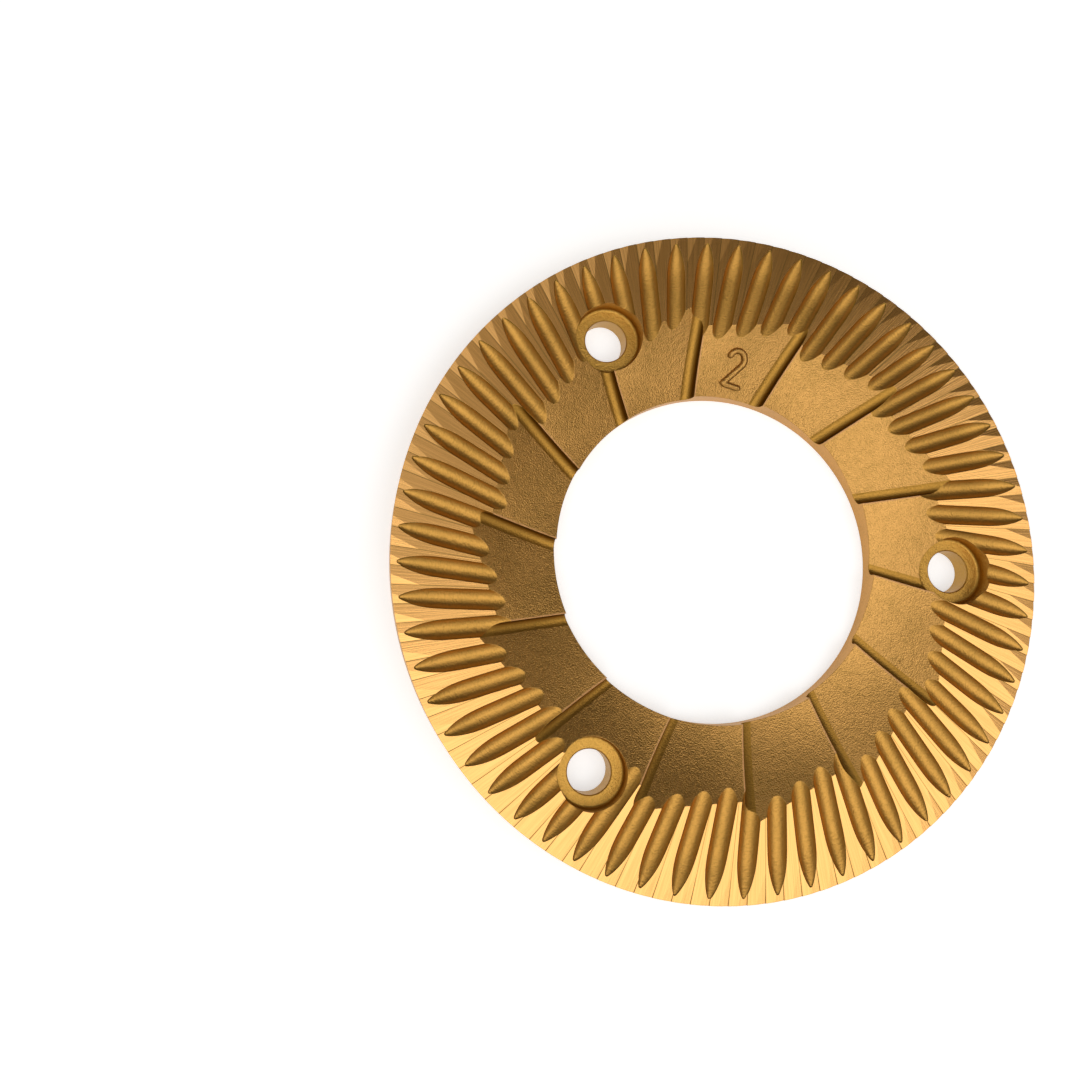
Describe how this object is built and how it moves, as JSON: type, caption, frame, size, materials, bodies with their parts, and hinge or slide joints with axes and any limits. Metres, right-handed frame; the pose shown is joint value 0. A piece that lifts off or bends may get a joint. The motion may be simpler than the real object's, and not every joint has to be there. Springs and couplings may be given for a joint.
{
  "type": "coffee grinder burr",
  "caption": "Flat ring burr for a coffee grinder, with a toothed rim, leaning round flutes and stepped feed ramps on one face, and counterbored screw holes.",
  "frame": {"origin": "on the ring's axis, in the flat back face", "axes": "+Z along the ring's axis, out of the grinding face; +X about 2 degrees counterclockwise from the first screw hole, the way of the picture's right-hand side"},
  "size_m": [0.098, 0.098, 0.007],
  "materials": {
    "coated_casting": "gold-bronze hard coating over a cast surface, satin on the floors and ground on the lands"
  },
  "bodies": {
    "root": {"burr": "coated_casting"}
  },
  "joints": []
}
